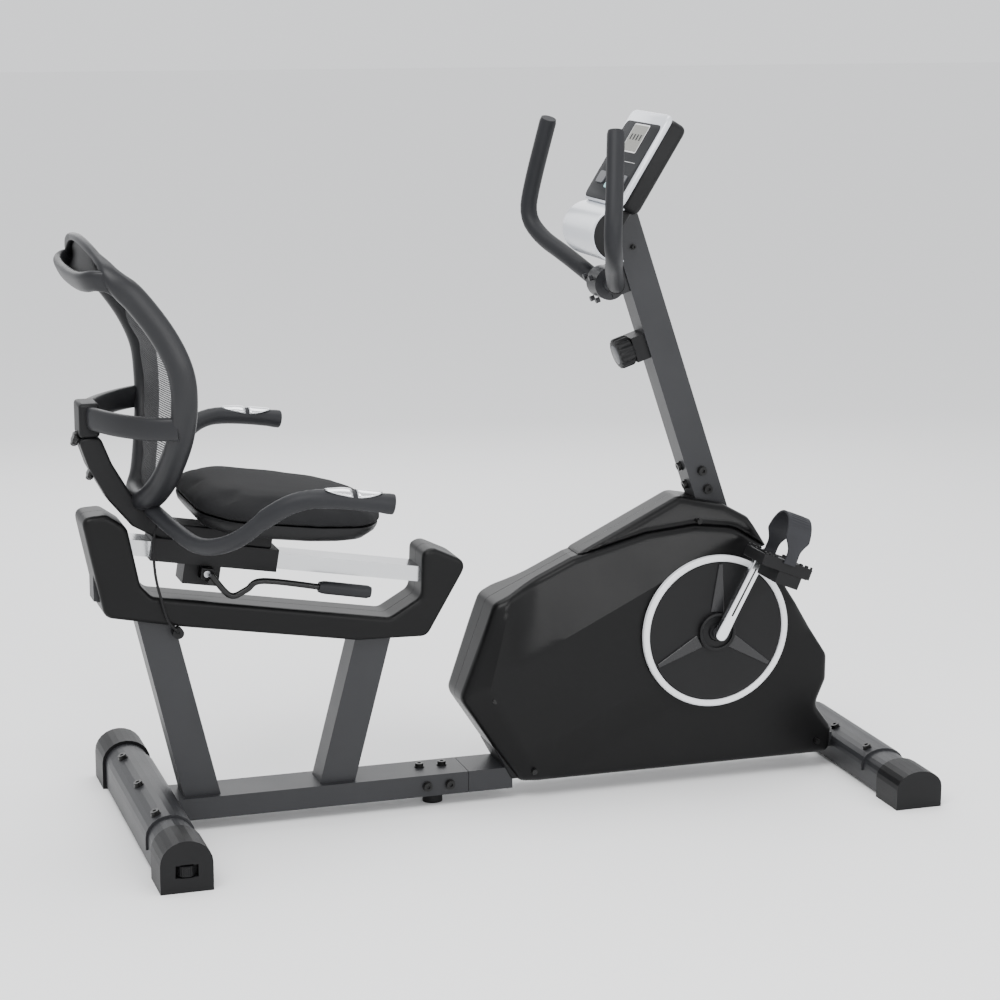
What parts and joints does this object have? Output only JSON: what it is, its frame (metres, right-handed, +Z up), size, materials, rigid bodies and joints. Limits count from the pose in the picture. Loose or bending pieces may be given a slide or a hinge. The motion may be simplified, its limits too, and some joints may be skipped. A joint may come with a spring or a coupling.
{
  "type": "recumbent exercise bike",
  "caption": "Recumbent exercise bike with a sliding mesh-back seat, belt-driven flywheel in a side shroud, and a console mast with upright handlebars.",
  "frame": {"origin": "on the floor under the middle of the overall box", "axes": "+X forward from the seat to the pedals, +Y to the rider's left, +Z up"},
  "size_m": [1.5566, 0.8512, 1.2791],
  "materials": {
    "frame_paint": "satin graphite powder coat",
    "cap_plastic": "black moulded polypropylene, fine grain",
    "bolt_black": "black oxide steel",
    "steel": "machined steel",
    "rail_aluminium": "polished anodised aluminium",
    "cover_plastic": "black moulded plastic with fine horizontal grain",
    "shroud_plastic": "satin black moulded ABS",
    "ring_silver": "silver-white trim",
    "crank_steel": "bright plated steel",
    "pedal_plastic": "black nylon",
    "strap_rubber": "ribbed dark grey strap",
    "flywheel_iron": "turned cast iron",
    "belt_rubber": "black drive belt",
    "bar_foam": "closed-cell foam sleeve, charcoal",
    "knob_plastic": "black plastic with a grey face",
    "console_black": "satin black housing",
    "console_silver": "silver-white lacquered face",
    "screen_glass": "olive grey liquid-crystal window",
    "button_plastic": "soft-touch key",
    "seat_vinyl": "dark grey fine-grained vinyl",
    "seat_shell": "black base shell and bracket",
    "back_plastic": "graphite grey moulded frame",
    "back_mesh_cloth": "knitted polyester mesh",
    "pulse_chrome": "polished sensor plates",
    "cable_black": "black sheath",
    "wheel_plastic": "black wheel"
  },
  "bodies": {
    "root": {"rear_frame": "frame_paint", "front_frame": "frame_paint", "rear_stabiliser": "frame_paint", "front_stabiliser": "frame_paint", "rear_cap_left": "cap_plastic", "rear_cap_right": "cap_plastic", "front_cap_left": "cap_plastic", "front_cap_right": "cap_plastic", "frame_bolts": "bolt_black", "panel_screws": "bolt_black", "centre_foot": "wheel_plastic", "seat_rail": "rail_aluminium", "rail_cover_left": "cover_plastic", "rail_cover_right": "cover_plastic", "shroud_left": "shroud_plastic", "shroud_right": "shroud_plastic", "shroud_top_cover": "shroud_plastic", "mast": "frame_paint", "clamp_base": "back_plastic", "clamp_cap": "back_plastic", "knob_housing": "knob_plastic", "cable_socket": "cable_black", "crank_bearings": "steel", "flywheel_axle": "steel", "drive_belt": "belt_rubber", "console_housing": "console_black", "console_panel": "console_silver", "console_screen": "screen_glass", "pulse_cable": "cable_black"},
    "crank": {"crank_axle": "steel", "crank_arm_left": "crank_steel", "crank_arm_right": "crank_steel", "drive_pulley": "pedal_plastic", "crank_disc_left": "shroud_plastic", "crank_disc_right": "shroud_plastic", "crank_rings": "ring_silver"},
    "left_pedal": {"pedal_left": "pedal_plastic", "strap_left": "strap_rubber"},
    "right_pedal": {"pedal_right": "pedal_plastic", "strap_right": "strap_rubber"},
    "flywheel_unit": {"flywheel": "flywheel_iron"},
    "brake": {"magnet_bracket": "steel"},
    "knob": {"tension_knob": "knob_plastic"},
    "handlebar_unit": {"handlebar": "bar_foam"},
    "key_left": {"button_left": "button_plastic"},
    "key_centre": {"button_centre": "button_plastic"},
    "key_right": {"button_right": "button_plastic"},
    "seat": {"carriage": "seat_shell", "seat_base": "seat_shell", "seat_pad": "seat_vinyl", "back_spine": "seat_shell", "back_frame": "back_plastic", "back_mesh": "back_mesh_cloth", "arm_bars": "bar_foam", "pulse_plates": "pulse_chrome"},
    "lever": {"seat_lever": "bolt_black"},
    "roller_left": {"transport_wheel_left": "wheel_plastic"},
    "roller_right": {"transport_wheel_right": "wheel_plastic"},
    "leveller_left": {"level_wheel_left": "wheel_plastic"},
    "leveller_right": {"level_wheel_right": "wheel_plastic"}
  },
  "joints": [
    {"name": "seat_slide", "type": "slide", "parent": "root", "child": "seat", "axis": [0.9869, 0, -0.1616], "range_m": [0, 0.2], "deforming": ["pulse_cable"]},
    {"name": "lever_hinge", "type": "hinge", "parent": "seat", "child": "lever", "pos_m": [-0.55607, -0.045, 0.48321], "axis": [0, -1, 0], "range_deg": [0, 12], "stiffness_Nm_per_rad": 6, "springref_deg": -8.59},
    {"name": "flywheel_spin", "type": "hinge", "parent": "root", "child": "flywheel_unit", "pos_m": [0.132, 0, 0.25], "axis": [0, 1, 0], "continuous": true},
    {"name": "crank_spin", "type": "hinge", "parent": "root", "child": "crank", "pos_m": [0.412, 0, 0.308], "axis": [0, 1, 0], "continuous": true},
    {"name": "right_pedal_spin", "type": "hinge", "parent": "crank", "child": "right_pedal", "pos_m": [0.49181, -0.18, 0.4581], "axis": [0, 1, 0], "continuous": true},
    {"name": "left_pedal_spin", "type": "hinge", "parent": "crank", "child": "left_pedal", "pos_m": [0.33219, 0.18, 0.1579], "axis": [0, 1, 0], "continuous": true},
    {"name": "knob_turn", "type": "hinge", "parent": "root", "child": "knob", "pos_m": [0.25682, 0, 0.83985], "axis": [-0.9461, 0, -0.3239], "range_deg": [0, 300]},
    {"name": "brake_swing", "type": "hinge", "parent": "root", "child": "brake", "pos_m": [0.11893, 0, 0.39943], "axis": [0, 1, 0], "range_deg": [0, 5]},
    {"name": "handlebar_tilt", "type": "hinge", "parent": "root", "child": "handlebar_unit", "pos_m": [0.212, 0, 0.968], "axis": [0, 1, 0], "range_deg": [-10, 10]},
    {"name": "key_left_press", "type": "slide", "parent": "root", "child": "key_left", "axis": [0.8526, 0, -0.5225], "range_m": [0, 0.002], "stiffness_N_per_m": 400},
    {"name": "key_centre_press", "type": "slide", "parent": "root", "child": "key_centre", "axis": [0.8526, 0, -0.5225], "range_m": [0, 0.002], "stiffness_N_per_m": 400},
    {"name": "key_right_press", "type": "slide", "parent": "root", "child": "key_right", "axis": [0.8526, 0, -0.5225], "range_m": [0, 0.002], "stiffness_N_per_m": 400},
    {"name": "roller_left_spin", "type": "hinge", "parent": "root", "child": "roller_left", "pos_m": [0.752, 0.286, 0.023], "axis": [0, 1, 0], "continuous": true},
    {"name": "leveller_left_turn", "type": "hinge", "parent": "root", "child": "leveller_left", "pos_m": [-0.658, 0.324, 0.02], "axis": [0, 0, 1], "range_deg": [-180, 180]},
    {"name": "roller_right_spin", "type": "hinge", "parent": "root", "child": "roller_right", "pos_m": [0.752, -0.286, 0.023], "axis": [0, 1, 0], "continuous": true},
    {"name": "leveller_right_turn", "type": "hinge", "parent": "root", "child": "leveller_right", "pos_m": [-0.658, -0.324, 0.02], "axis": [0, 0, 1], "range_deg": [-180, 180]}
  ],
  "couplings": [
    {"joint": "crank_spin", "follows": "flywheel_spin", "ratio": 0.22449},
    {"joint": "brake_swing", "follows": "knob_turn", "ratio": 0.0166}
  ]
}
